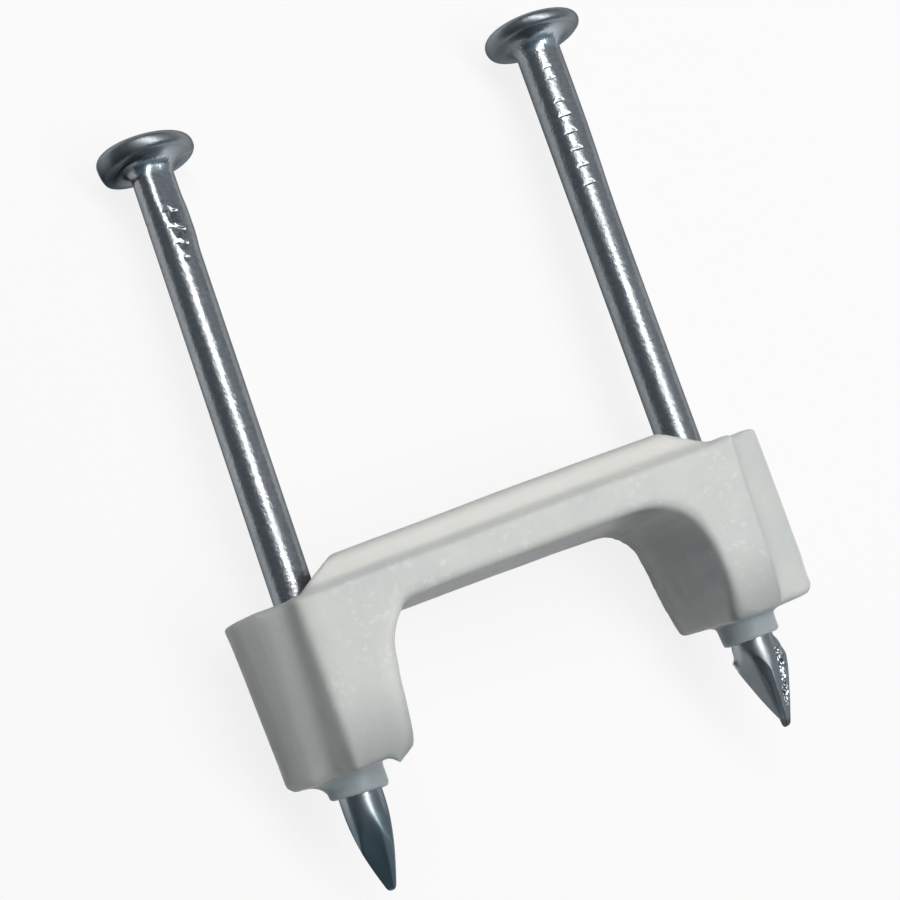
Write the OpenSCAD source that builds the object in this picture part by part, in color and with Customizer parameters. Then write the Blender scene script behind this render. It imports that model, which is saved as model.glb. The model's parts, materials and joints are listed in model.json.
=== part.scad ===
// Two-nail cable staple: a moulded plastic saddle with two steel nails that have not been driven yet.
// Each piece is modelled upright: X along the bridge, Y across it, Z up the nails, feet on Z = 0.
// The staple is then laid on its back, the way it comes to rest on a table.

/* [Cable channel] */
// Clear width of the channel at the feet
channel_w = 13.8; // [10:0.1:14.2]
// Clear height of the channel, from the feet to its ceiling
channel_h = 5.45; // [3.5:0.05:5.6]
// Narrowing of each channel wall on the way up, for release from the mould
channel_draft = 0.35; // [0:0.01:0.6]
// Sideways shift of the channel from the middle of the bridge
channel_shift = 0.2; // [-0.3:0.05:0.3]
// Radius of the shoulders where the walls meet the ceiling
shoulder_r = 1.6; // [0.6:0.1:2.2]
// Radius of the inner edge of each foot
foot_edge_r = 0.25; // [0.1:0.05:0.3]

/* [Bridge] */
// Height of the flat front and back plates, from the feet
plate_h = 7.1; // [6.6:0.1:9]
// Distance between the front and back faces
saddle_depth = 7.8; // [7:0.1:9]
// Chamfer along the top edge of both plates
plate_edge = 0.25; // [0.05:0.05:0.4]
// Length of the flat front face
plate_len = 18.7; // [17:0.1:19.4]
// How far the plate's end flank runs outwards on its way back to the boss
flank_out = 0.6; // [0.2:0.05:0.9]
// Lean of the plate's ends along the bridge, in degrees
flank_lean = 3.5; // [0:0.1:4]

/* [Crown] */
// Height of the raised crown above the plates
crown_rise = 1.1; // [0.6:0.1:2]
// Length of the crown along its top
crown_top_len = 14.2; // [12:0.1:15]
// Length of the crown at its foot
crown_foot_len = 17.8; // [16:0.1:18]
// Setback of the crown from the front and back faces
crown_setback = 0.35; // [0.1:0.05:0.8]
// Radius of the crown's long edges
crown_edge_r = 0.45; // [0.2:0.05:0.5]

/* [Nail bosses] */
// Distance between the two nails, halfway up the saddle
nail_spacing = 17.8; // [17:0.1:20]
// Radius of the round bosses at their top
boss_r = 3.12; // [2.8:0.02:3.4]
// Narrowing of the boss radius on the way down to the foot
boss_draft = 0.22; // [0:0.01:0.3]
// Radius of the boss's top rim
boss_rim_r = 0.12; // [0.05:0.01:0.4]
// Chamfer around the foot of the boss
boss_foot_edge = 0.25; // [0.1:0.05:0.6]
// Radius of the collar where it meets the foot
collar_r = 1.27; // [1.2:0.01:1.6]
// Narrowing of the collar radius towards its lower rim, for release from the mould
collar_draft = 0.04; // [0.01:0.01:0.1]
// Length of the collar under each foot
collar_len = 1.15; // [0.6:0.05:2]
// Radius of the collar's lower rim
collar_rim_r = 0.18; // [0.05:0.01:0.2]
// Gap all round between a nail and its bore
bore_gap = 0.05; // [0.02:0.01:0.1]
// Gap all round between a driven nail head and the crown
head_gap = 0.25; // [0.1:0.05:0.4]

/* [Nails] */
// Diameter of the nail wire
shank_d = 1.83; // [1.6:0.01:2]
// Length of the nail, from under the head to the tip
nail_len = 31.75; // [25:0.05:40]
// How far the nail stands out below the feet, to its tip
tip_reach = 5.09; // [4.8:0.01:7]
// Diameter of the nail head
head_d = 4.2; // [3.4:0.05:5]
// Thickness of the nail head at its rim
head_t = 0.56; // [0.4:0.02:1]
// Length of the cone between shank and head
neck_len = 0.45; // [0.2:0.05:1]
// Radius of that cone where it meets the head
neck_r = 1.4; // [1.2:0.05:1.6]
// Length of the cut point
point_len = 3.85; // [2.5:0.05:3.9]
// Width of the blunt end of the point
point_blunt_w = 0.36; // [0.2:0.02:0.5]
// How far the curve of the cut would run on past the blunt end
point_runout = 0.45; // [0.3:0.05:0.8]
// Lean of both nails along the bridge, in degrees
nail_lean = 2.2; // [0:0.1:3]
// Turn of the left nail about its own axis, in degrees
left_turn = -9; // [-45:1:45]
// Turn of the right nail about its own axis, in degrees
right_turn = 36; // [-45:1:45]

/* [Hidden] */
$fn = 64;
ARC_STEPS = 6;
POINT_STEPS = 9;
POINT_BELLY = 1.6;
POINT_ENTRY = 0.03;
SLACK = 1;

shank_r = shank_d / 2;
head_r = head_d / 2;
bore_r = shank_r + bore_gap;
half_depth = saddle_depth / 2;
half_spacing = nail_spacing / 2;
pivot_h = plate_h / 2;
crown_h = plate_h + crown_rise;
crown_half_depth = half_depth - crown_setback;
boss_foot_r = boss_r - boss_draft;
edge_h = plate_h - plate_edge;
flank_x = plate_len / 2 + flank_out;
flank_y = sqrt(pow(boss_foot_r, 2) - pow(flank_x - half_spacing, 2));

// Heights along a nail, with the feet at zero
tip_at = -tip_reach;
head_under = tip_at + nail_len;
head_mid = head_under + head_t / 2;
head_top = head_under + head_t;
point_start = tip_at + point_len;

// Lying on its back, the staple touches down at the plate's back edge and at both head rims
rest_tilt = atan((half_depth - head_r) / (pivot_h + (head_mid - pivot_h) * cos(nail_lean) - edge_h));
rest_drop = half_depth * cos(rest_tilt) + edge_h * sin(rest_tilt);

// Furthest reach of a leaning disc along the direction that will lie level
function level_reach(mid, disc_r, rim_r) =
    let (up = cos(rest_tilt) * cos(nail_lean))
    pivot_h * cos(rest_tilt) + (mid - pivot_h) * up + (disc_r - rim_r) * sqrt(1 - up * up) + rim_r;
head_end = level_reach(head_mid, head_r, head_t / 2);
tip_end = pivot_h * cos(rest_tilt) + (tip_at - pivot_h) * cos(rest_tilt) * cos(nail_lean);

function arc(centre, r, from, to) =
    [for (i = [0:ARC_STEPS])
        let (a = from + (to - from) * i / ARC_STEPS)
        centre + r * [cos(a), sin(a)]];

// How far a leaning nail has moved along the bridge at a given height
function lean_at(height) = (height - pivot_h) * tan(nail_lean);

function mirrored(points) = [for (i = [len(points) - 1:-1:0]) [-points[i][0], points[i][1]]];

// Right half of the channel's outline, from the foot up to the ceiling
function channel_side() =
    let (
        wall_x = channel_w / 2,
        shoulder = [wall_x - channel_draft - shoulder_r, channel_h - shoulder_r]
    )
    concat(
        [[wall_x + foot_edge_r, -SLACK]],
        arc([wall_x + foot_edge_r, foot_edge_r], foot_edge_r, 270, 180),
        arc(shoulder, shoulder_r, 0, 90)
    );

// Half of the point's outline: a cut that gets steeper towards the blunt end
function point_half_width(s) =
    (shank_r + POINT_ENTRY) * (1 - pow(s * point_len / (point_len + point_runout), POINT_BELLY));
function point_side() =
    [for (i = [0:POINT_STEPS])
        let (s = i / POINT_STEPS)
        [max(point_blunt_w / 2, point_half_width(s)), point_start - s * point_len]];

module laid_down() {
    translate([0, -(head_end + tip_end) / 2, rest_drop])
        rotate([-(90 + rest_tilt), 0, 0])
            children();
}

// Places children on a nail's leaning axis; side is -1 for the left nail and 1 for the right
module on_nail_axis(side) {
    translate([side * half_spacing, 0, pivot_h])
        rotate([0, nail_lean, 0])
            translate([0, 0, -pivot_h])
                children();
}

module along_bridge(length) {
    rotate([90, 0, 90])
        linear_extrude(length, center = true)
            children();
}

module across_bridge(depth) {
    rotate([90, 0, 0])
        linear_extrude(depth, center = true)
            children();
}

module boss(side) {
    translate([side * half_spacing, 0, 0])
        rotate_extrude()
            polygon(concat(
                [[0, 0], [boss_foot_r - boss_foot_edge, 0], [boss_foot_r, boss_foot_edge]],
                arc([boss_r - boss_rim_r, plate_h - boss_rim_r], boss_rim_r, 0, 90),
                [[0, plate_h]]
            ));
}

module collar(side) {
    translate([side * half_spacing + lean_at(-collar_len / 2), 0, 0])
        rotate_extrude()
            polygon(concat(
                [[0, SLACK], [0, -collar_len]],
                arc([collar_r - collar_draft - collar_rim_r, collar_rim_r - collar_len], collar_rim_r, -90, 0),
                [[collar_r, 0], [collar_r, SLACK]]
            ));
}

// Both plates and the web between them: a long bar with leaning ends
module bridge_block() {
    half_plan = [[plate_len / 2, -half_depth], [flank_x, -flank_y], [flank_x, flank_y], [plate_len / 2, half_depth]];
    half_section = [[half_depth, 0], [half_depth, edge_h], [half_depth - plate_edge, plate_h]];
    intersection() {
        along_bridge(2 * flank_x + 2 * SLACK)
            polygon(concat(half_section, mirrored(half_section)));
        translate([0, 0, pivot_h])
            rotate([0, flank_lean, 0])
                linear_extrude(2 * plate_h, center = true)
                    polygon(concat(half_plan, mirrored(half_plan)));
    }
}

// Crown on top of the bridge: rounded along its length, sloped at both ends
module crown() {
    half_section = concat(
        [[crown_half_depth, plate_h - SLACK]],
        arc([crown_half_depth - crown_edge_r, crown_h - crown_edge_r], crown_edge_r, 0, 90)
    );
    half_profile = [
        [crown_foot_len / 2, plate_h - SLACK],
        [crown_foot_len / 2, plate_h],
        [crown_top_len / 2, crown_h],
        [crown_top_len / 2, crown_h + SLACK]
    ];
    intersection() {
        along_bridge(crown_foot_len + 2 * SLACK)
            polygon(concat(half_section, mirrored(half_section)));
        across_bridge(saddle_depth)
            polygon(concat(half_profile, mirrored(half_profile)));
    }
}

module channel_cut() {
    translate([channel_shift, 0, 0])
        across_bridge(saddle_depth + 2 * SLACK)
            polygon(concat(channel_side(), mirrored(channel_side())));
}

module nail_bore(side) {
    on_nail_axis(side)
        translate([0, 0, -collar_len - SLACK])
            cylinder(r = bore_r, h = collar_len + crown_h + 2 * SLACK);
    translate([side * half_spacing + lean_at(plate_h), 0, plate_h])
        cylinder(r = head_r + head_gap, h = crown_rise + SLACK);
}

module saddle() {
    color("whitesmoke")
        laid_down()
            difference() {
                union() {
                    bridge_block();
                    crown();
                    for (side = [-1, 1]) {
                        boss(side);
                        collar(side);
                    }
                }
                channel_cut();
                for (side = [-1, 1]) nail_bore(side);
            }
}

module nail_body() {
    rim_r = head_t / 2;
    rotate_extrude()
        polygon(concat(
            [[0, tip_at - SLACK], [shank_r, tip_at - SLACK], [shank_r, head_under - neck_len], [neck_r, head_under]],
            arc([head_r - rim_r, head_mid], rim_r, -90, 90),
            [[0, head_top]]
        ));
}

// Everything that the cutters leave: a wedge below the shank, seen along Y
module point_wedge() {
    wide = head_d + SLACK;
    side = concat([[wide, head_top + SLACK], [wide, point_start + SLACK]], point_side());
    across_bridge(2 * wide)
        polygon(concat(side, mirrored(side)));
}

module nail(side, turn) {
    color("lightsteelblue")
        laid_down()
            on_nail_axis(side)
                rotate([0, 0, turn])
                    intersection() {
                        nail_body();
                        point_wedge();
                        rotate([0, 0, 90]) point_wedge();
                    }
}

module nail_left() {
    nail(-1, left_turn);
}

module nail_right() {
    nail(1, right_turn);
}

saddle();
nail_left();
nail_right();
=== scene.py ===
import json
import math

import bpy
import numpy as np
from mathutils import Matrix


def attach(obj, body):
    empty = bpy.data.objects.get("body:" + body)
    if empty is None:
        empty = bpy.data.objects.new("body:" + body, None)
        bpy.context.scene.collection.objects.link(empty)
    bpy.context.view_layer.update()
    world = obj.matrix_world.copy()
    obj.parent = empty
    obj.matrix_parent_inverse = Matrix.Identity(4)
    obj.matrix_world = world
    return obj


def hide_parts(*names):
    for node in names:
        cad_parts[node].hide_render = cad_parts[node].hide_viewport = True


# Two-nail cable staple, lying on its back plate and both head rims. Lengths below are in mm.
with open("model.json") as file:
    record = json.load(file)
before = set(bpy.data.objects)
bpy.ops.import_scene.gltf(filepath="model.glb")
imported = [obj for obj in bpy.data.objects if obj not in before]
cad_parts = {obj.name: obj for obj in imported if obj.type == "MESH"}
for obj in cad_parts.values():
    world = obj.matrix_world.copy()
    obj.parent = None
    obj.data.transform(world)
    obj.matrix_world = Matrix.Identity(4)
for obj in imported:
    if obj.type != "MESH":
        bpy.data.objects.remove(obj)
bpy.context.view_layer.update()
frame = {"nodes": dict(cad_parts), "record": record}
print("frame loaded:", ", ".join(sorted(frame["nodes"])))

mm = 0.001
mounts = {m["name"]: m for m in frame["record"]["mounts"]}


def unit(v):
    return np.array(v, float) / np.linalg.norm(v)


def rise(value, over):
    # 0 up to value 0, then straight up to 1 where the value reaches over
    return np.clip(value / over, 0, 1)


def close(distance, reach, flat=1.3):
    # 1 close by, then straight down to 0 at flat times the reach
    return np.clip(flat - distance / reach, 0, 1)


def mountPoint(name):
    return np.array(mounts[name]["pos_m"], float) / mm


# The saddle's own axes: x along the bridge, y across it, z from the feet up to the crown
bridgeX = np.array([1.0, 0.0, 0.0])
bridgeZ = -unit(mounts["foot_left"]["axis"])
bridgeY = np.cross(bridgeZ, bridgeX)
saddleAxes = np.array([bridgeX, bridgeY, bridgeZ])
feetCentre = (mountPoint("foot_left") + mountPoint("foot_right")) / 2


def fromSaddle(points):
    return feetCentre + np.asarray(points, float) @ saddleAxes


def toSaddle(points):
    return (np.asarray(points, float) - feetCentre) @ saddleAxes.T


def placed(right, up, back, at):
    # the matrix that turns an object's x, y and z into these directions and sets it at a point
    turned = np.eye(4)
    turned[:3, 0] = right
    turned[:3, 1] = up
    turned[:3, 2] = back
    turned[:3, 3] = at * mm
    return Matrix(turned)


# Camera: hangs over the staple, a little to its left, with its top edge tipped clockwise
camera = {
    "place": (-14.401, -65.381, 2.323),      # in the saddle's own axes, as the two directions are
    "right": (0.92192, -0.13686, -0.3624),
    "down": (-0.34137, 0.1552, -0.92703),
    "lens": 64.018, "sensor": 36.0,
    "axisPixel": (430, 510),                 # where the lens axis meets the picture
    "pictureSize": 900,
    "clip": (0.001, 10),
}


def makeCamera(spec):
    right = unit(np.array(spec["right"]) @ saddleAxes)
    down = np.array(spec["down"]) @ saddleAxes
    down = unit(down - right * (down @ right))
    data = bpy.data.cameras.new("camera")
    data.lens = spec["lens"]
    data.sensor_width = spec["sensor"]
    half = spec["pictureSize"] / 2
    data.shift_x = (half - spec["axisPixel"][0]) / spec["pictureSize"]
    data.shift_y = (spec["axisPixel"][1] - half) / spec["pictureSize"]
    data.clip_start, data.clip_end = spec["clip"]
    cam = bpy.data.objects.new("camera", data)
    cam.matrix_world = placed(right, -down, -np.cross(right, down), fromSaddle(spec["place"]))
    bpy.context.scene.collection.objects.link(cam)
    bpy.context.scene.camera = cam


makeCamera(camera)
print("camera made")


# Small helpers for materials
class Nodes:
    # the node tree of a material or of the sky, with short calls to add and join nodes
    def __init__(self, owner):
        owner.use_nodes = True
        self.tree = owner.node_tree
        self.tree.nodes.clear()

    def feed(self, socket, value):
        if isinstance(value, bpy.types.NodeSocket):
            self.tree.links.new(value, socket)
        else:
            socket.default_value = value

    def add(self, kind, inputs=None, **settings):
        node = self.tree.nodes.new(kind)
        for name, value in settings.items():
            setattr(node, name, value)
        for name, value in (inputs or {}).items():
            self.feed(node.inputs[name], value)
        return node

    def zone(self, name):
        # the share that the mesh's own attribute gives this zone
        return self.add("ShaderNodeAttribute", attribute_name=name + "Share").outputs["Fac"]

    def noise(self, coords, scale, detail=3.0, rough=0.5, stretch=(1, 1, 1)):
        mapping = self.add("ShaderNodeMapping", {"Vector": coords, "Scale": stretch})
        made = self.add("ShaderNodeTexNoise", {
            "Vector": mapping.outputs["Vector"], "Scale": scale, "Detail": detail, "Roughness": rough})
        return made.outputs["Fac"]

    def remap(self, value, low, high, toLow, toHigh, smooth=False):
        made = self.add("ShaderNodeMapRange", {
            "Value": value, "From Min": low, "From Max": high, "To Min": toLow, "To Max": toHigh})
        if smooth:
            made.interpolation_type = "SMOOTHSTEP"
        return made.outputs["Result"]

    def contrast(self, noise):
        # the noise's middle range, stretched to all of 0 to 1
        return self.remap(noise, 0.35, 0.65, 0, 1)

    def rougher(self, noise, roughness):
        # a roughness that goes a little down and up with the noise
        return self.remap(noise, 0.3, 0.7, roughness - 0.05, roughness + 0.08)

    def blend(self, share, first, second):
        made = self.add("ShaderNodeMix", data_type="RGBA")
        self.feed(made.inputs[0], share)
        self.feed(made.inputs[6], first)
        self.feed(made.inputs[7], second)
        return made.outputs[2]

    def math(self, operation, a, b=0.0):
        made = self.add("ShaderNodeMath", operation=operation)
        self.feed(made.inputs[0], a)
        self.feed(made.inputs[1], b)
        return made.outputs[0]

    def bump(self, height, strength, depth, under=None):
        inputs = {"Height": height, "Strength": strength, "Distance": depth}
        if under is not None:
            inputs["Normal"] = under
        return self.add("ShaderNodeBump", inputs).outputs["Normal"]

    def seen(self):
        # 1 for what the camera sees, also in a mirror or through glass, and 0 for what lights the object
        path = self.add("ShaderNodeLightPath")
        seen = self.math("MAXIMUM", path.outputs["Is Camera Ray"], path.outputs["Is Glossy Ray"])
        return self.math("MAXIMUM", seen, path.outputs["Is Transmission Ray"])

    def surface(self, shader):
        self.add("ShaderNodeOutputMaterial", {"Surface": shader.outputs[0]})


# Noise scales are in waves per metre, because the pieces are in metres
plastic = {
    "white": (0.73, 0.742, 0.712, 1),
    "milky": (0.665, 0.695, 0.69, 1),        # slightly bluer patches
    # painted light: the crown is painted lighter, as where the light falls on its upward faces, and warmer
    # in tone
    "crown": (0.8, 0.795, 0.767, 1),
    "foot": (0.37, 0.385, 0.39, 1),          # painted shade: the plates' lower rim is darker towards the feet
    "flank": (0.54, 0.555, 0.545, 1),        # painted shadow of the left plate's end, on the boss beside it
    "collar": (0.44, 0.5, 0.53, 1),
    # painted shade inside the channel, darkest on its ceiling and at its back
    "channel": (0.42, 0.43, 0.44, 1),
    "speck": (0.93, 0.94, 0.92, 1),
    "cloudScale": 320, "clusterScale": 420,
    "speckScale": 3300, "speckFrom": 0.53, "speckFull": 0.7, "speckMost": 0.34,
    "fineScale": 5200, "fineDepth": 0.014 * mm,
    "waveScale": 900, "waveDepth": 0.06 * mm,
    "glossScale": 1400, "roughness": 0.42,
    "scatter": 0.75, "scatterDepth": 0.9 * mm, "scatterColours": (1.0, 0.95, 0.9),
}


def naturalPlastic(spec):
    mat = bpy.data.materials.new("naturalPolyethylene")
    n = Nodes(mat)
    place = n.add("ShaderNodeTexCoord").outputs["Object"]
    clouds = n.noise(place, spec["cloudScale"], 4, 0.55)
    base = n.blend(n.contrast(clouds), spec["white"], spec["milky"])
    # specks stand in clusters, most of all on the flat plates
    clusters = n.remap(n.noise(place, spec["clusterScale"], 2), 0.4, 0.62, 0.1, 1, smooth=True)
    specks = n.noise(place, spec["speckScale"], 2)
    specks = n.remap(specks, spec["speckFrom"], spec["speckFull"], 0, spec["speckMost"], smooth=True)
    specks = n.math("MULTIPLY", specks, clusters)
    specks = n.math("MULTIPLY", specks, n.remap(n.zone("plate"), 0, 1, 0.3, 1))
    colour = n.blend(specks, base, spec["speck"])
    # painted light and shade: the crown lighter, and the feet's rim, the left hollow corner and the channel
    # darker
    for zone in ("crown", "foot", "flank", "collar", "channel"):
        colour = n.blend(n.zone(zone), colour, spec[zone])
    fine = n.bump(n.noise(place, spec["fineScale"], 3, 0.6), 0.5, spec["fineDepth"])
    wavy = n.bump(n.noise(place, spec["waveScale"], 4, 0.55), 0.55, spec["waveDepth"], fine)
    rough = n.rougher(n.noise(place, spec["glossScale"]), spec["roughness"])
    n.surface(n.add("ShaderNodeBsdfPrincipled", {
        "Base Color": colour,
        "Roughness": rough,
        "IOR": 1.5,
        "Specular IOR Level": 0.35,
        "Subsurface Weight": spec["scatter"],
        "Subsurface Radius": spec["scatterColours"],
        "Subsurface Scale": spec["scatterDepth"],
        "Normal": wavy,
    }))
    return mat


zinc = {
    "bright": (0.34, 0.355, 0.375, 1),
    "dull": (0.27, 0.29, 0.31, 1),
    "head": (0.275, 0.3, 0.32, 1),
    "under": (0.05, 0.056, 0.062, 1),        # painted shade on the left side of the head's underside
    # painted reflection: a pale patch on the neck's upper side
    "neck": (0.6, 0.68, 0.75, 1),
    "side": (0.12, 0.145, 0.155, 1),         # painted shade on the left side of the wire
    "point": (0.15, 0.2, 0.225, 1),
    # painted shade on a strip of the point and on its blunt end
    "leafShade": (0.13, 0.145, 0.155, 1),
    "torn": (0.42, 0.46, 0.48, 1),
    "edgeTint": (0.3, 0.31, 0.32, 1),
    "lineScale": 2600, "lineDepth": 0.008 * mm,
    "grainScale": 5200, "grainDepth": 0.02 * mm, "mottle": 0.08,
    "blotchScale": 3200, "blotchDepth": 0.014 * mm,
    "patchScale": 900,
    "roughness": 0.21, "headRougher": 0.1, "scuffRougher": 0.3,
}


def zincPlate(spec):
    # the wire is drawn along the frame's y axis, so its marks are stretched that way
    mat = bpy.data.materials.new("brightZincPlate")
    n = Nodes(mat)
    place = n.add("ShaderNodeTexCoord").outputs["Object"]
    lines = n.noise(place, spec["lineScale"], 3, 0.6, (1, 0.05, 1))
    grain = n.noise(place, spec["grainScale"], 3, 0.6)
    blotches = n.noise(place, spec["blotchScale"], 3, 0.65, (1, 0.45, 1))
    patches = n.noise(place, spec["patchScale"], 4, 0.6, (1, 0.4, 1))
    onHead = n.zone("head")
    onShank = n.zone("shank")
    colour = n.blend(n.contrast(patches), spec["bright"], spec["dull"])
    # painted shade on the head's underside, the wire's left side and a strip of the point, and a painted
    # reflection on the neck
    for zone in ("head", "neck", "point", "leafShade", "torn", "side", "under"):
        colour = n.blend(n.zone(zone), colour, spec[zone])
    # the wire's colour is lighter and darker with the grain
    mottle = n.remap(grain, 0.38, 0.62, -spec["mottle"], spec["mottle"])
    mottle = n.math("ADD", n.math("MULTIPLY", mottle, onShank), 1.0)
    colour = n.add("ShaderNodeVectorMath", {0: colour, "Scale": mottle}, operation="SCALE").outputs[0]
    grainy = n.math("ADD", onShank, n.math("MULTIPLY", onHead, 0.6))
    grainBump = n.bump(n.math("MULTIPLY", grain, grainy), 1.0, spec["grainDepth"])
    blotchBump = n.bump(n.math("MULTIPLY", blotches, onShank), 0.5, spec["blotchDepth"], grainBump)
    lineBump = n.bump(lines, 0.4, spec["lineDepth"], blotchBump)
    rough = n.rougher(patches, spec["roughness"])
    rough = n.math("ADD", rough, n.math("MULTIPLY", onHead, spec["headRougher"]))
    rough = n.math("ADD", rough, n.math("MULTIPLY", n.zone("scuff"), spec["scuffRougher"]))
    n.surface(n.add("ShaderNodeBsdfPrincipled", {
        "Base Color": colour,
        "Metallic": 1.0,
        "Roughness": rough,
        "Specular Tint": spec["edgeTint"],
        "Normal": lineBump,
    }))
    return mat


# Nails: a round profile from the head, down the neck and the wire, to a four-sided cut point
nail = {
    "shankR": 0.915, "headR": 2.1, "headThick": 0.64, "length": 31.75,
    "neckDrop": 0.65,                        # how far the hollow curve under the head reaches down the wire
    "feetAt": 5.09,                          # height of the feet above the nail's tip
    "pointLen": 3.85, "pointBelly": 1.6,     # length of the cuts, and how round they are along their length
    "pointRunout": 0.45, "cutEntry": 0.03,   # how far their curve runs on past the tip and outside the wire
    "cutMargin": 0.3,                        # their soft edges end this far above them
    "leastDepth": 0.08,                      # none comes closer to the axis than this
    "ridgeSharp": 40.0, "bluntHalf": 0.18, "tipRound": 0.14,
    # length over which fins, deeper cuts, shaved ridges and torn strips reach their full depth
    "finRise": 0.7, "deepRise": 2.8, "shaveRise": 0.8, "tornRise": 0.3,
    "bendLong": 1.6,                         # length of the tip that is bent aside
    # how ragged the ends of flats and bites are, how long a bite's steep end is, how uneven its floor
    "flatRagged": 0.02, "biteRagged": 0.05, "biteEdge": 0.07, "biteUneven": 0.14,
    # the heads are out of round by this share and their discs are wavy by this much
    "outOfRound": 0.012, "discWaves": 0.05,
    # how far round, in degrees, a head's wider side and its lower side reach
    "wideReach": 48, "droopReach": 75,
    # the lower side starts at this radius and reaches this far above the head's underside
    "droopFrom": 1.1, "droopHigh": 0.3,
    # angle and reach, both in degrees, of the painted shade on the underside, the painted reflection on the
    # neck and the painted shade on the wire's side
    "underShadeAt": (200, 60), "neckReflectionAt": (-84, 46), "sideShadeAt": (180, 43),
    # heights above the tip where the strip of painted shade, the scuffed strip and the painted shade of the
    # blunt end stop
    "leafHigh": 3.7, "ridgeHigh": 3.3, "bluntHigh": 0.35,
    "pointFade": 1.3,                        # length over which the point's colour fades into the wire's
    "marksFrom": 19.3, "markStep": 0.03,     # from this height above the feet up, the rings stand close
    "columns": 160,
    "rings": {"face": 13, "rim": 26, "neck": 26, "wire": 34, "point": 110, "tip": 9},
}
# Each nail's own marks. Angles go round the wire in degrees: 0 is to the right along the bridge,
# 180 to the left and -90 up from the floor.
nailLooks = {
    "left": {
        "turn": -9,                          # angle of the first of the four cuts
        "cutDeeper": (0, 0, 0, 0),           # how much deeper each cut is
        "tipShift": (0, 0),                  # how far the tip is bent aside, along 0 and along 90 degrees
        "fins": (), "shaves": (), "torn": (),
        # each flat: height above the feet, angle, depth, length of its slope up and of its step down
        "flats": ((24.25, -84, 0.05, 0.26, 0.05), (23.47, -84, 0.04, 0.2, 0.05),
                  (22.74, -84, 0.035, 0.18, 0.05)),
        # each bite: height of its steep upper end, angle, length, reach round in degrees, depth
        "bites": ((24.2, -71, 0.66, 15, 0.1), (23.42, -68, 0.56, 17, 0.105), (22.7, -70, 0.4, 12, 0.075),
                  (22.12, -73, 0.25, 9, 0.04), (24.1, 178, 0.3, 30, 0.03)),
        # the gripper squeezed the wire: height, angle, reach along, reach round in degrees, depth,
        # which is below 0 where the wire swells instead
        "squeezes": ((26.2, -68, 2.3, 34, 0.19), (23.75, -14, 1.0, 30, -0.06)),
        # side where the head's underside hangs lower, and by how much, and side where the head is wider
        "headDroop": (178, 0.4), "headWide": (0, 0),
        "pointTone": 1, "pointScuff": 0.3,   # how dark and how scuffed the point is
        "sideShadeTone": 0, "underShadeTone": 0.95,    # how strong the painted shade on the wire's left side and on the head's underside is
        # a strip of painted shade and a scuffed strip of the point: angle, width in degrees, share
        "leafShade": (0, 1, 0), "ridge": (-54, 17, 1.3),
    },
    "right": {
        "turn": 36, "cutDeeper": (0, 0.2, 0.2, 0), "tipShift": (0.1, 0),
        # each fin: angle, how far it stands out of the wire, width in degrees
        "fins": ((-9, 0.27, 11), (171, 0.17, 11)),
        # each shaved ridge: angle, depth, height above the tip where it starts
        "shaves": ((-120, 0.1, 3.3),),
        # each torn strip: lowest and highest height above the tip, angle, width in degrees, depth
        "torn": ((0.8, 3.5, -33, 18, 0.07), (2.7, 3.5, 168, 10, 0.025)),
        "flats": ((25.09, -97, 0.025, 0.12, 0.05), (24.56, -97, 0.035, 0.14, 0.05),
                  (23.48, -96, 0.04, 0.14, 0.05), (22.79, -95, 0.055, 0.2, 0.06),
                  (21.99, -95, 0.06, 0.22, 0.06), (21.19, -95, 0.055, 0.2, 0.06),
                  (20.43, -95, 0.05, 0.18, 0.06), (19.58, -95, 0.055, 0.22, 0.06)),
        "bites": (),
        "squeezes": ((26.2, -14, 6.4, 48, -0.14),),
        "headDroop": (182, 0.08), "headWide": (-14, 0.13),
        "pointTone": 0.25, "pointScuff": 0.9, "sideShadeTone": 0.5, "underShadeTone": 0.55,
        "leafShade": (-112, 12, 0.9), "ridge": (0, 1, 0),
    },
}


def angleFrom(theta, degrees):
    # signed angle between theta and a direction, in degrees
    return (np.degrees(theta) - degrees + 180) % 360 - 180


def facing(theta, degrees):
    # cosine of the angle between theta and a direction
    return np.cos(np.radians(angleFrom(theta, degrees)))


def towards(theta, degrees, width, power=2):
    # 1 in a direction, fading on both sides of it within about the width in degrees
    return np.exp(-(angleFrom(theta, degrees) / width) ** power)


fullTurn = 6.28                              # of a wave, in radians, to two decimals


def waves(a, b, seed, count=7):
    # a sum of sine waves in two directions with fixed random pitches, about -1 to 1
    rng = np.random.default_rng(1000 + int(seed))
    pitchA = rng.uniform(-1, 1, count)
    pitchB = rng.uniform(-1, 1, count)
    phases = rng.uniform(0, fullTurn, count)
    total = np.zeros(np.broadcast(a, b).shape)
    for ka, kb, phase in zip(pitchA, pitchB, phases):
        total = total + np.sin(fullTurn * (ka * a + kb * b) + phase)
    return total / math.sqrt(count)


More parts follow.
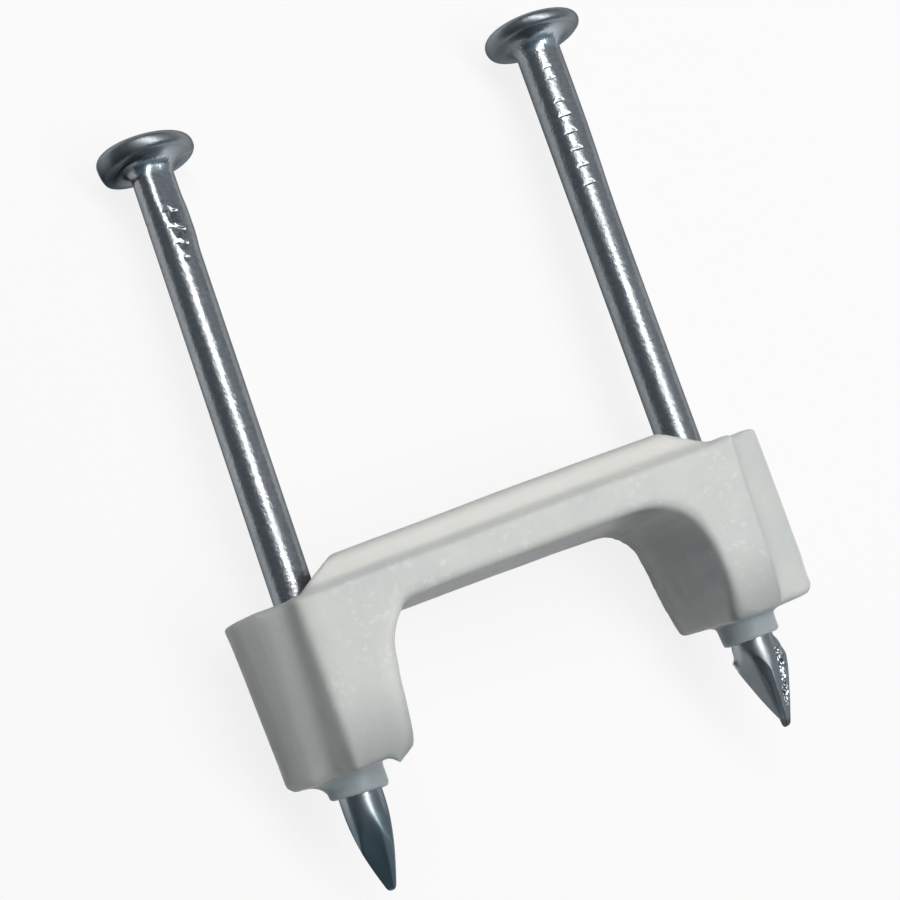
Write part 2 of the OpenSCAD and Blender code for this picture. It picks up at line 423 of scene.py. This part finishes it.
def nailProfile(spec):
    # (radius, height above the tip) along the head's face, its round rim, the hollow neck and the wire
    rings = spec["rings"]
    rimR = spec["headThick"] / 2
    rimCentre = spec["headR"] - rimR
    under = spec["length"]
    top = under + spec["headThick"]
    face = [(rimCentre * t, top) for t in np.linspace(0.08, 1, rings["face"])[:-1]]
    rim = [(rimCentre + rimR * math.sin(a), under + rimR + rimR * math.cos(a))
           for a in np.linspace(0, math.pi, rings["rim"])]
    span = rimCentre - spec["shankR"]
    neck = [(rimCentre - span * u, under - spec["neckDrop"] * (1 - math.sqrt(1 - u * u)))
            for u in np.sin(np.linspace(0.05, math.pi / 2, rings["neck"]))]
    step = spec["markStep"]
    marked = np.arange(under - spec["neckDrop"] - step, spec["feetAt"] + spec["marksFrom"], -step)
    plain = np.linspace(marked[-1], spec["pointLen"] + spec["cutMargin"], rings["wire"])[1:]
    cut = np.linspace(plain[-1], spec["tipRound"], rings["point"])[1:]
    end = spec["tipRound"] * (1 - np.sin(np.linspace(0, math.pi / 2, rings["tip"])[1:-1]))
    straight = [(spec["shankR"], h) for h in np.concatenate([marked, plain, cut, end])]
    return np.array(face + rim + neck + straight)


def pointHalfWidth(spec, height):
    # half width of the cut point: a power curve that gets steeper towards the blunt end
    below = np.clip(spec["pointLen"] - height, 0, None)
    full = spec["shankR"] + spec["cutEntry"]
    width = full * (1 - (below / (spec["pointLen"] + spec["pointRunout"])) ** spec["pointBelly"])
    return np.maximum(width, spec["bluntHalf"])


def cutPoint(r, theta, height, spec, look):
    # radius = (sum of r ** -sharp) ** (-1 / sharp), which is a soft smallest r of the wire's radius
    # and of each cut's depth / cos(angle from the cut)
    for angle, out, width in look["fins"]:
        ragged = 1 + 0.25 * waves(height * 1.6, theta * 0, 5 + angle)
        below = rise(spec["pointLen"] - height, spec["finRise"])
        r = r + out * ragged * below * towards(theta, angle, width)
    sharp = spec["ridgeSharp"]
    inverse = r ** -sharp
    half = pointHalfWidth(spec, height)
    deepening = np.sin(math.pi / 2 * rise(spec["pointLen"] - height, spec["deepRise"]))
    for k, deeper in enumerate(look["cutDeeper"]):
        depth = np.maximum(half - deeper * deepening, spec["leastDepth"])
        reach = depth / np.maximum(facing(theta, look["turn"] + 90 * k), 0.02)
        inverse = inverse + np.where(height < spec["pointLen"] + spec["cutMargin"], reach ** -sharp, 0)
    # the head is wider than any cut and stays as it is
    r = np.where(height < spec["length"] - spec["cutMargin"], inverse ** (-1 / sharp), r)
    # the ridge nearest to each direction is shaved off to the given depth, less of it at the tip,
    # which leaves a narrow facet
    for angle, depth, high in look["shaves"]:
        away = facing(theta, angle)
        support = np.max(r * away, axis=1, keepdims=True)
        plane = support - depth * np.clip(height / 1.2, 0.25, 1) * rise(high - height, spec["shaveRise"])
        r = np.where((height < high) & (away > 0.1), np.minimum(r, plane / np.maximum(away, 0.1)), r)
    return r


def tearPoint(r, theta, height, spec, look):
    # strips where the cutter tore the zinc instead of cutting it
    tornShare = np.zeros_like(r)
    for low, high, angle, width, depth in look["torn"]:
        fromEnds = np.minimum(height - low, high - height)
        share = towards(theta, angle, width, 4) * rise(fromEnds, spec["tornRise"])
        r = r + depth * share * waves(height * 5, theta * 5, 7 + angle)
        tornShare = np.maximum(tornShare, share)
    return r, tornShare


def gripWire(r, theta, fromFeet, onWire, spec, look):
    # a flat across the wire deepens towards the tip and ends in a step; its radius is
    # (wire's radius - depth) / cos(angle from it), with the angle held at 60 degrees
    for at, angle, depth, slope, step in look["flats"]:
        ragged = spec["flatRagged"] * waves(fromFeet * 0, theta * 2.5, int(at * 10))
        fromEdge = fromFeet - (at + ragged)
        share = np.clip(np.minimum(1 - fromEdge / slope, 1 + fromEdge / step), 0, 1)
        away = np.cos(np.radians(np.clip(angleFrom(theta, angle), -60, 60)))
        r = np.where(share > 0, np.minimum(r, (spec["shankR"] - depth * share) / away), r)
    # a bite is a hollow beside it with a ragged upper end
    for at, angle, along, reach, depth in look["bites"]:
        toEdge = at + spec["biteRagged"] * waves(fromFeet * 0, theta * 1.2, int(at * 10)) - fromFeet
        uneven = 1 + spec["biteUneven"] * waves(fromFeet * 1.6, theta * 1.5, int(at * 10))
        hollow = np.clip(np.minimum(toEdge / spec["biteEdge"], 1 - toEdge / along), 0, 1)
        r = r - depth * hollow * uneven * towards(theta, angle, reach, 4)
    # a squeeze is a long shallow hollow, or a swelling
    for at, angle, along, reach, depth in look["squeezes"]:
        hollow = np.exp(-((fromFeet - at) / along) ** 4) * towards(theta, angle, reach)
        r = r - depth * hollow * onWire
    return r


def unevenHead(r, theta, height, headShare, spec, look):
    # the heads are a little out of round, and their underside hangs lower on one side
    halfTurns = theta / (fullTurn / 2)
    r = r * (1 + headShare * spec["outOfRound"] * waves(height * 0, halfTurns, look["turn"] + 50))
    wideSide, wider = look["headWide"]
    r = r + wider * headShare * (r / spec["headR"]) * towards(theta, wideSide, spec["wideReach"])
    wavy = headShare * spec["discWaves"] * (r / spec["headR"]) ** 2
    wavy = wavy * waves(height * 0, halfTurns, look["turn"] + 90)
    lowSide, drop = look["headDroop"]
    underside = rise(spec["length"] + spec["droopHigh"] - height, 0.25)
    hang = rise(r - spec["droopFrom"], 0.5) * underside * headShare
    return r, height + wavy - drop * hang * towards(theta, lowSide, spec["droopReach"])


def zincZones(theta, height, radius, headShare, tornShare, spec, look):
    # how far each zone's colour or roughness holds, from 0 to about 1; the last number of a rise is the
    # length of its fade
    onWire = rise(height - spec["pointLen"], 0.3)
    onPoint = rise(spec["pointLen"] + spec["cutMargin"] - height, spec["pointFade"])
    # painted shade: the strip along the shaved ridge and the blunt end are the darkest
    angle, wide, tone = look["leafShade"]
    onLeafShade = close(np.abs(angleFrom(theta, angle)), wide, 1.8) * rise(spec["leafHigh"] - height, 0.5)
    leafShadeShare = tone * np.maximum(onLeafShade, rise(spec["bluntHigh"] - height, 0.1))
    angle, wide, tone = look["ridge"]
    scuffedRidge = tone * towards(theta, angle, wide, 4) * rise(spec["ridgeHigh"] - height, 0.6)
    tornPatches = np.clip(0.45 + waves(height * 1.4, theta * 2, 31), 0, 1)
    # painted shade under the head's left side, and a painted reflection on the neck's upper side
    underHeadShade = rise(radius - spec["shankR"], 0.15) * rise(spec["length"] + 0.4 - height, 0.3)
    onNeckReflection = close(np.abs(height - spec["length"] + 0.3), 0.4, 1.25) * (radius < 1.8)
    return {
        "headShare": headShare,
        "shankShare": onWire - headShare,
        "pointShare": look["pointTone"] * onPoint,
        "leafShadeShare": leafShadeShare,
        "tornShare": tornShare * tornPatches,
        "scuffShare": look["pointScuff"] * (onPoint * (1 - tornShare) + 0.15 * onWire) + scuffedRidge,
        "underShare": look["underShadeTone"] * underHeadShade * towards(theta, *spec["underShadeAt"]),
        "neckShare": onNeckReflection * towards(theta, *spec["neckReflectionAt"]),
        "sideShare": look["sideShadeTone"] * towards(theta, *spec["sideShadeAt"]) * (onWire - headShare),
    }


def nailGrid(spec, look):
    # the round profile turned about the nail's axis, then cut, torn, gripped and bent, and its zinc's zones
    profile = nailProfile(spec)
    radius = profile[:, :1]
    height = profile[:, 1:]
    theta = np.linspace(0, 2 * math.pi, spec["columns"], endpoint=False)[None, :]
    # the head's share starts a little below its underside
    headShare = rise(height - spec["length"] + 0.2, 0.2)
    r = cutPoint(radius * np.ones_like(theta), theta, height, spec, look)
    r, tornShare = tearPoint(r, theta, height, spec, look)
    # the blunt end is rounded like a quarter circle, which stays a little open for the pole's fan
    fromTip = np.clip(spec["tipRound"] - height, 0, None) / spec["tipRound"]
    r = r * np.sqrt(np.clip(1 - fromTip ** 2, 0.02, 1))
    r = gripWire(r, theta, height - spec["feetAt"], 1 - headShare, spec, look)
    r, z = unevenHead(r, theta, height, headShare, spec, look)
    bent = rise(spec["bendLong"] - height, spec["bendLong"]) ** 1.5
    x = r * np.cos(theta) + bent * look["tipShift"][0]
    y = r * np.sin(theta) + bent * look["tipShift"][1]
    zones = zincZones(theta, height, radius, headShare, tornShare, spec, look)
    return np.stack([x, y, z], -1), {name: share * np.ones_like(r) for name, share in zones.items()}


def closedTube(name, grid, firstPole, lastPole):
    # a grid of rings, closed round and with a point at each end, as one mesh
    rings, columns = grid.shape[:2]
    verts = np.concatenate([grid.reshape(-1, 3), [firstPole], [lastPole]]) * mm
    ring = np.arange(columns)
    nextInRing = (ring + 1) % columns
    starts = np.arange(rings - 1)[:, None] * columns
    here = starts + ring
    beside = starts + nextInRing
    quads = np.stack([here + columns, beside + columns, beside, here], -1).reshape(-1, 4)
    last = (rings - 1) * columns
    firstFan = np.stack([np.full(columns, rings * columns), ring, nextInRing], -1)
    lastFan = np.stack([np.full(columns, rings * columns + 1), last + nextInRing, last + ring], -1)
    mesh = bpy.data.meshes.new(name)
    mesh.from_pydata(verts.tolist(), [], quads.tolist() + firstFan.tolist() + lastFan.tolist())
    mesh.validate()
    mesh.shade_smooth()
    piece = bpy.data.objects.new(name, mesh)
    bpy.context.scene.collection.objects.link(piece)
    return piece


def giveZones(mesh, zones):
    for name, share in zones.items():
        mesh.attributes.new(name, "FLOAT", "POINT").data.foreach_set("value", share.astype(np.float32))


def makeNail(side, material):
    tip = mountPoint(f"nail_{side}_point")
    axis = unit(mountPoint(f"strike_{side}") - tip)
    across = unit(bridgeX - axis * (bridgeX @ axis))
    axes = np.array([across, np.cross(axis, across), axis])
    grid, zones = nailGrid(nail, nailLooks[side])
    top = tip + axis * (nail["length"] + nail["headThick"])
    piece = closedTube(f"wireNail{side.capitalize()}", grid @ axes + tip, top, tip)
    # the two poles take the share of the ring beside them
    giveZones(piece.data, {name: np.concatenate([share.ravel(), [share[0, 0], share[-1, 0]]])
                           for name, share in zones.items()})
    piece.data.materials.append(material)
    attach(piece, f"nail_{side}")
    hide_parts(f"nail_{side}")
    return piece


zincMaterial = zincPlate(zinc)
for nailSide in ("left", "right"):
    made = makeNail(nailSide, zincMaterial)
    print("nail made:", made.name, len(made.data.polygons), "faces")


# Saddle: the moulding's own solid, remeshed finely, bent, with its edges softened and its surface uneven
saddle = {
    "voxel": 0.115,
    "unevenness": 0.016, "unevenAlong": 5, "unevenAcross": 9,     # its height and shortest wave lengths
    "plateH": 7.1, "halfDepth": 3.9,
    "channelHalf": 6.725, "channelDraft": 0.03, "channelH": 5.45, "channelShift": 0.2,
    "lean": 0.0612, "middle": 3.55,          # the plates' ends lean this steeply about this height
    # how often each edge is relaxed, and how far from it
    "softenRounds": 1, "sharpFrom": 10.1, "sharpHigh": 0.4,       # but not the bosses' top rims
    "mouthRounds": 40, "mouthReach": 0.9,
    "cornerRounds": 40, "cornerReach": 0.65, "cornerX": 9.95, "cornerY": 2.7,
    "footRounds": 1, "footReach": 0.4,
    "endRounds": {-1: 14, 1: 44}, "endReach": 0.6, "endX": 9.35, "endFade": 0.8,
    "ledgeRounds": 6, "ledgeReach": 0.25, "ledgeY": 3.6,
    "collarRounds": 6, "collarReach": 0.4, "collarR": 1.27, "collarX": 8.9, "collarShift": -0.16,
    # the front's bend of the channel's walls fades over this depth with this power, and the back's bend
    # starts at this share of half the depth
    "frontDeep": 5.5, "frontPower": 1.2, "backFrom": 0.7,
    "bendOutside": 1.9, "bendInside": 1.3,   # how far it reaches into the plastic and into the channel
    "ceilingReach": 0.9,
    # the ends' bend reaches this far along the plate and this deep, and fades over the last length
    "endBendReach": 1.1, "endBendDeep": 2.8, "endBendFade": 1.2,
    "bossFrom": 10.2,                        # the bosses' far sides start here
    # heights above the feet, and shifts along x there of the channel's walls at the front and the back,
    # of the plates' ends and of the bosses' far sides
    "bendHeights": (0, 0.7, 1.3, 2, 3, 4, 4.8, 5.4, 6.3, 7.1),
    "frontLeft": (0.04, 0.1, 0.18, 0.19, 0.23, 0.33, 0.52, 1.0, 0.25, 0),
    "frontRight": (-0.1, 0.18, 0.42, 0.54, 0.62, 0.5, 0.3, 0.16, 0, 0),
    "backRight": (-0.05, -0.12, -0.17, -0.17, -0.13, -0.14, -0.3, -0.34, -0.1, 0),
    "endLeft": (0.42, 0.4, 0.38, 0.35, 0.3, 0.25, 0.2, 0.17, 0.13, 0.1),
    "endRight": (-0.12, 0, 0.1, 0.17, 0.15, 0.13, 0.14, 0.17, 0.22, 0.25),
    "bossLeft": (0.04, 0.06, 0.08, 0.09, 0.1, 0.12, 0.14, 0.15, 0.16, 0.14),
    "bossRight": (0.13, 0.1, 0.17, 0.18, 0.18, 0.18, 0.18, 0.18, 0.17, 0.15),
    # places along the bridge, and how much lower its underside hangs there at the back
    "dropAt": (-6, 0, 3, 5, 6.5, 7.2, 8),
    "ceilingDrop": (0.02, 0.03, 0.06, 0.13, 0.22, 0.22, 0),
    # how much lower each foot is, how much more at the far side of its collar, and how far that reaches
    "footDrops": {-1: (0, 0.52, 0.38), 1: (0.14, 0.16, 1.0)},
    "rimAbove": 1.2, "rimBelow": 1.15,       # how far above and below the feet that fades
    "onAxis": 0.4, "farRise": 1.6,           # the cone's share on the axis, and the length of its rise
    # the left collar's slanted cut: how much it takes off at the far side, its share on the axis,
    # the length of its fall from 1 to 0, and how far below the feet it starts
    "collarShorter": 0.22, "cutOnAxis": 0.6, "cutWide": 2.2, "cutFrom": 0.5,
    "flashAt": -7.43, "flashHalf": 0.33, "flashLong": 0.26,
    "flashRagged": 0.35, "flashHigh": 0.6, "flashDeep": 0.5,
    "boreR": 0.965, "boreWider": 0.12, "boreLips": (0.1, 7.0), "lipFade": 0.4,
    "boreBand": 0.2, "boreFade": 0.15,       # how far outside the bore's wall that ends, and its fade
    # the plates' colour starts this far from the middle, and the painted shade of the channel's ceiling this
    # high
    "plateFrom": 2.9, "ceilingFrom": 4.4,
    # reach of the painted shade on the rim above the feet, of the painted shadow in the left hollow corner,
    # and of the painted shade in the channel
    "rimShadeHigh": 2.9, "cornerShade": 1.6, "channelShade": 0.4,
}


def relax(points, edges, weight, rounds):
    # each vertex moves towards the mean of its neighbours
    count = np.bincount(edges.ravel(), minlength=len(points))[:, None]
    for _ in range(rounds):
        total = np.zeros_like(points)
        for k in range(3):
            total[:, k] = (np.bincount(edges[:, 0], points[edges[:, 1], k], len(points))
                           + np.bincount(edges[:, 1], points[edges[:, 0], k], len(points)))
        points = points + weight * 0.5 * (total / count - points)
    return points


def applyModifier(piece, kind, **settings):
    made = piece.modifiers.new(kind.lower(), kind)
    for name, value in settings.items():
        setattr(made, name, value)
    bpy.context.view_layer.objects.active = piece
    bpy.ops.object.modifier_apply(modifier=made.name)


def channelDistance(points, spec):
    # distance in the front view from the channel's outline: two walls and a ceiling
    x, y, z = points.T
    fromMiddle = np.abs(x - spec["channelShift"])
    wall = spec["channelHalf"] - spec["channelDraft"] * z
    toWall = np.abs(fromMiddle - wall) + np.clip(z - spec["channelH"], 0, None)
    toCeiling = np.abs(z - spec["channelH"]) + np.clip(fromMiddle - wall, 0, None)
    return np.minimum(toWall, toCeiling)


def bendChannel(points, plain, spec):
    # x += table(height) x nearness to a wall x share by depth; the ceiling's back hangs lower
    x, y, z = plain.T
    fromFront = y + spec["halfDepth"]
    front = close(fromFront, spec["frontDeep"], 1) ** spec["frontPower"]
    back = np.clip(fromFront / spec["halfDepth"] - spec["backFrom"], 0, 1)
    wall = spec["channelHalf"] - spec["channelDraft"] * z
    bends = ((-1, front, "frontLeft"), (1, front, "frontRight"), (1, back, "backRight"))
    for side, depthShare, table in bends:
        fromWall = side * (x - spec["channelShift"]) - wall
        away = np.maximum(fromWall / spec["bendOutside"], -fromWall / spec["bendInside"])
        share = np.clip(1 - away, 0, 1) * depthShare * (z > -0.02)
        points[:, 0] += share * np.interp(z, spec["bendHeights"], spec[table])
    atCeiling = close(np.abs(z - spec["channelH"]), spec["ceilingReach"], 1) * back
    points[:, 2] -= atCeiling * np.interp(x, spec["dropAt"], spec["ceilingDrop"])


def bendEnds(points, plain, spec):
    # x += table(height) near each plate's front end and at each boss's far side
    x, y, z = plain.T
    fromFront = y + spec["halfDepth"]
    for side, ends, boss in ((-1, "endLeft", "bossLeft"), (1, "endRight", "bossRight")):
        toEnd = np.abs(side * x - spec["endX"] - side * spec["lean"] * (z - spec["middle"]))
        inFront = rise(spec["endBendDeep"] - fromFront, spec["endBendFade"])
        nearEnd = close(toEnd, spec["endBendReach"], 1) * inFront * (side * x > 0)
        points[:, 0] += nearEnd * np.interp(z, spec["bendHeights"], spec[ends])
        onBoss = rise(side * x - spec["bossFrom"], 1)
        points[:, 0] += onBoss * np.interp(z, spec["bendHeights"], spec[boss])


def lowerFeet(points, plain, spec):
    # the rim of each foot and the collar under it go down; the left collar is cut off at a slant
    x, y, z = plain.T
    nearRim = np.where(z > 0, close(z, spec["rimAbove"], 1), close(-z, spec["rimBelow"], 1))
    for side, (drop, more, reach) in spec["footDrops"].items():
        fromAxis = x - side * spec["collarX"] - spec["collarShift"]
        toAxis = np.hypot(fromAxis, y)
        cone = more * np.exp(-np.clip(toAxis - spec["collarR"], 0, None) / reach)
        farSide = np.clip(spec["onAxis"] + side * fromAxis / spec["farRise"], 0, 1)
        points[:, 2] -= (drop + cone * farSide) * (side * x > 0) * nearRim
        if side < 0:
            slant = close(fromAxis, spec["cutWide"], spec["cutOnAxis"]) * (toAxis < 1.5)
            points[:, 2] += spec["collarShorter"] * (rise(-z - spec["cutFrom"], 0.5) * slant)


def widenBores(points, plain, spec):
    # each bore is wider between its two lips
    x, y, z = plain.T
    low, high = spec["boreLips"]
    between = rise(np.minimum(z - low, high - z), spec["lipFade"])
    for side in ("left", "right"):
        tip, top = toSaddle([mountPoint(f"nail_{side}_point"), mountPoint(f"strike_{side}")])
        axis = unit(top - tip)
        off = plain - tip - ((plain - tip) @ axis)[:, None] * axis
        away = np.linalg.norm(off, axis=1)
        onBore = rise(spec["boreR"] + spec["boreBand"] - away, spec["boreFade"]) * between
        points += off / np.maximum(away, 0.1)[:, None] * (spec["boreWider"] * onBore)[:, None]


def addFlash(points, plain, spec):
    # a small ragged flash of plastic under the left foot's front rim
    x, y, z = plain.T
    fromFront = y + spec["halfDepth"]
    ragged = 1 + spec["flashRagged"] * waves(x * 2.5, y * 0, 21)
    flash = np.exp(-((x - spec["flashAt"]) / spec["flashHalf"]) ** 4) * ragged
    onRim = close(np.abs(z), spec["flashHigh"], 1) * close(fromFront - 0.2, spec["flashDeep"], 1)
    points[:, 2] -= spec["flashLong"] * flash * onRim


def bendSaddle(points, spec):
    # the unbent place of a point says how far each step moves it, and the steps add up
    bent = points.copy()
    for step in (bendChannel, bendEnds, lowerFeet, widenBores, addFlash):
        step(bent, points, spec)
    return bent


def cornerDistance(points, spec):
    # distance in plan from the nearest hollow corner between a plate's end and its boss
    x, y, z = points.T
    fromCorner = np.abs(np.abs(x) - spec["cornerX"] - np.sign(x) * spec["lean"] * (z - spec["middle"]))
    return np.hypot(fromCorner, np.abs(y) - spec["cornerY"])


def softenMouth(points, edges, spec):
    # the channel's front edge is rounder than the rest
    fromFront = np.clip(points[:, 1] + spec["halfDepth"], 0, None)
    near = close(channelDistance(points, spec) + fromFront, spec["mouthReach"], 1.2)
    return relax(points, edges, near[:, None], spec["mouthRounds"])


def softenEdges(points, edges, toCorner, spec):
    # hollow corners, rim of the feet, ends and top edges of the plates, and collars
    points = relax(points, edges, close(toCorner, spec["cornerReach"])[:, None], spec["cornerRounds"])
    nearFoot = close(np.abs(points[:, 2]), spec["footReach"])
    points = relax(points, edges, nearFoot[:, None], spec["footRounds"])
    for side, rounds in spec["endRounds"].items():
        x, y, z = points.T
        endX = side * spec["endX"] + spec["lean"] * (z - spec["middle"])
        near = close(np.hypot(x - endX, np.abs(y) - spec["halfDepth"]), spec["endReach"])
        near = near * rise(np.minimum(z, spec["plateH"] - z), spec["endFade"])
        points = relax(points, edges, near[:, None], rounds)
    toLedge = np.hypot(np.abs(points[:, 1]) - spec["ledgeY"], points[:, 2] - spec["plateH"])
    points = relax(points, edges, close(toLedge, spec["ledgeReach"])[:, None], spec["ledgeRounds"])
    for side in (-1, 1):
        toAxis = np.hypot(points[:, 0] - side * spec["collarX"] - spec["collarShift"], points[:, 1])
        toCollar = np.hypot(toAxis - spec["collarR"], points[:, 2])
        points = relax(points, edges, close(toCollar, spec["collarReach"])[:, None], spec["collarRounds"])
    return points


def plasticZones(points, toChannel, toCorner, spec):
    # how far each zone's colour holds, from 0 to 1; the last number of a rise is the length of its fade
    x, y, z = points.T
    onPlate = rise(np.abs(y) - spec["plateFrom"], 0.6)
    behindMouth = rise(y + spec["halfDepth"] - 0.15, 0.5)
    ceilingPaintedShade = rise(z - spec["ceilingFrom"], 0.6)
    # painted shade: the walls are half as dark as the ceiling, most at the back
    wallPaintedShade = 0.5 * np.clip(y / spec["halfDepth"] / 2 + 0.5, 0, 1)
    channelPaintedShade = behindMouth * (z > 0) * np.maximum(ceilingPaintedShade, wallPaintedShade)
    return {
        "plateShare": onPlate,
        # painted light on the crown
        "crownShare": rise(z - spec["plateH"], 0.25),
        # painted shade, darker towards the feet
        "footShare": onPlate * close(z, spec["rimShadeHigh"], 1) ** 1.25,
        "collarShare": rise(-z, 0.2),
        # painted shadow beside the left plate's end
        "flankShare": close(toCorner, spec["cornerShade"], 1.25) * (x < 0) * (y < 0),
        "channelShare": close(toChannel, spec["channelShade"]) * channelPaintedShade,
    }


def finePiece(name, node, voxel):
    # a copy of the solid, welded, remeshed finely and laid back on the solid
    piece = bpy.data.objects.new(name, node.data.copy())
    bpy.context.scene.collection.objects.link(piece)
    applyModifier(piece, "WELD", merge_threshold=0.0005 * mm)
    applyModifier(piece, "REMESH", mode="VOXEL", voxel_size=voxel * mm, adaptivity=0)
    applyModifier(piece, "SHRINKWRAP", target=node, wrap_method="NEAREST_SURFACEPOINT")
    return piece


def meshArrays(mesh):
    # points and outward directions in the saddle's own axes, and each edge's two vertices
    points = np.empty(len(mesh.vertices) * 3)
    normals = np.empty(len(mesh.vertices) * 3)
    edges = np.empty(len(mesh.edges) * 2, int)
    mesh.vertices.foreach_get("co", points)
    mesh.vertices.foreach_get("normal", normals)
    mesh.edges.foreach_get("vertices", edges)
    return toSaddle(points.reshape(-1, 3) / mm), normals.reshape(-1, 3) @ saddleAxes.T, edges.reshape(-1, 2)


def makeSaddle(spec):
    piece = finePiece("mouldedSaddle", frame["nodes"]["saddle"], spec["voxel"])
    mesh = piece.data
    points, outward, edges = meshArrays(mesh)
    # all edges are softened a little, but the bosses' top rims stay sharp
    onRim = (np.abs(points[:, 0]) > spec["sharpFrom"]) & (points[:, 2] > spec["plateH"] - spec["sharpHigh"])
    points = relax(points, edges, np.where(onRim, 0.0, 1.0)[:, None], spec["softenRounds"])
    toChannel = channelDistance(points, spec)
    points = softenMouth(bendSaddle(points, spec), edges, spec)
    toCorner = cornerDistance(points, spec)
    points = softenEdges(points, edges, toCorner, spec)
    x, y, z = points.T
    along = spec["unevenAlong"]
    wavy = waves(x / along + y / spec["unevenAcross"], z / along, 3, 9)
    points = points + outward * (spec["unevenness"] * wavy)[:, None]
    mesh.vertices.foreach_set("co", (fromSaddle(points) * mm).ravel())
    giveZones(mesh, plasticZones(points, toChannel, toCorner, spec))
    mesh.update()
    mesh.shade_smooth()
    mesh.materials.clear()
    mesh.materials.append(naturalPlastic(plastic))
    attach(piece, "saddle")
    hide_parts("saddle")
    return piece


made = makeSaddle(saddle)
print("saddle made:", len(made.data.polygons), "faces")


# Floor, sky and lamps
studio = {
    "floorSize": 8000,
    "floorWhite": (0.93, 0.93, 0.93, 1), "floorGlow": 0.84,       # as it is seen
    "floorLit": (0.3, 0.3, 0.3, 1),                               # as it lights the object
    # the sky that the metal mirrors is darker towards the nails' points
    "skyHeadSide": (0.165, 0.19, 0.21, 1),
    "skyTipSide": (0.085, 0.12, 0.145, 1), "skyTurn": (-0.5, 0.1),
    "skyFarTip": (0.25, 0.3, 0.34, 1), "skyFarTurn": (-0.95, -0.65),
    "skyHorizon": (0.86, 0.86, 0.86, 1), "horizonHigh": 0.08,
    "skyLight": (0.07, 0.08, 0.09, 1),
    "lampAim": (0, 0, 5),
}
# each lamp: its centre in the frame, width and length, turn of its length from the y axis, power, colour
warmWhite = (1.0, 0.985, 0.95)
coolWhite = (0.95, 0.97, 1.0)
lamps = {
    "stripAbove": {
        "at": (50, 14, 185), "size": (54, 290), "turn": 26, "power": 0.31, "colour": warmWhite},
    "ceilingGlow": {
        "at": (58, 25, 262), "size": (225, 420), "turn": 26, "power": 0.11, "colour": coolWhite},
    "panelRight": {
        "at": (190, 10, 110), "size": (170, 320), "turn": 0, "power": 0.045, "colour": coolWhite},
}


def makeFloor(spec):
    half = spec["floorSize"] / 2 * mm
    corners = [(-half, -half, 0), (half, -half, 0), (half, half, 0), (-half, half, 0)]
    mesh = bpy.data.meshes.new("floor")
    mesh.from_pydata(corners, [], [(0, 1, 2, 3)])
    floor = bpy.data.objects.new("floor", mesh)
    bpy.context.scene.collection.objects.link(floor)
    mat = bpy.data.materials.new("whiteFloor")
    n = Nodes(mat)
    lit = n.add("ShaderNodeBsdfDiffuse", {"Color": spec["floorLit"]})
    white = n.add("ShaderNodeBsdfDiffuse", {"Color": spec["floorWhite"]})
    glow = n.add("ShaderNodeEmission", {"Color": (1, 1, 1, 1), "Strength": 1.0})
    pale = n.add("ShaderNodeMixShader", {0: spec["floorGlow"], 1: white.outputs[0], 2: glow.outputs[0]})
    n.surface(n.add("ShaderNodeMixShader", {0: n.seen(), 1: lit.outputs[0], 2: pale.outputs[0]}))
    mesh.materials.append(mat)


def makeSky(spec):
    world = bpy.data.worlds.new("studioSky")
    bpy.context.scene.world = world
    n = Nodes(world)
    ray = n.add("ShaderNodeSeparateXYZ", {0: n.add("ShaderNodeTexCoord").outputs["Generated"]})
    share = n.remap(ray.outputs["Y"], spec["skyTurn"][0], spec["skyTurn"][1], 0, 1, smooth=True)
    tone = n.blend(share, spec["skyTipSide"], spec["skyHeadSide"])
    far = n.remap(ray.outputs["Y"], spec["skyFarTurn"][0], spec["skyFarTurn"][1], 1, 0, smooth=True)
    tone = n.blend(far, tone, spec["skyFarTip"])
    low = n.remap(ray.outputs["Z"], 0, spec["horizonHigh"], 1, 0, smooth=True)
    tone = n.blend(low, tone, spec["skyHorizon"])
    plain = n.add("ShaderNodeBackground", {"Color": tone, "Strength": 1.0})
    light = n.add("ShaderNodeBackground", {"Color": spec["skyLight"], "Strength": 1.0})
    sky = n.add("ShaderNodeMixShader", {0: n.seen(), 1: light.outputs[0], 2: plain.outputs[0]})
    n.add("ShaderNodeOutputWorld", {"Surface": sky.outputs[0]})


def makeLamp(name, spec, aim):
    data = bpy.data.lights.new(name, "AREA")
    data.shape = "RECTANGLE"
    data.size = spec["size"][0] * mm
    data.size_y = spec["size"][1] * mm
    data.energy = spec["power"]
    data.color = spec["colour"]
    lamp = bpy.data.objects.new(name, data)
    at = np.array(spec["at"], float)
    back = unit(at - np.array(aim))
    turn = math.radians(spec["turn"])
    side = unit(np.cross([-math.sin(turn), math.cos(turn), 0], back))
    lamp.matrix_world = placed(side, np.cross(back, side), back, at)
    bpy.context.scene.collection.objects.link(lamp)


makeFloor(studio)
makeSky(studio)
for lampName, lampSpec in lamps.items():
    makeLamp(lampName, lampSpec, studio["lampAim"])
bpy.context.scene.view_settings.view_transform = "Standard"
print("floor and lamps made")
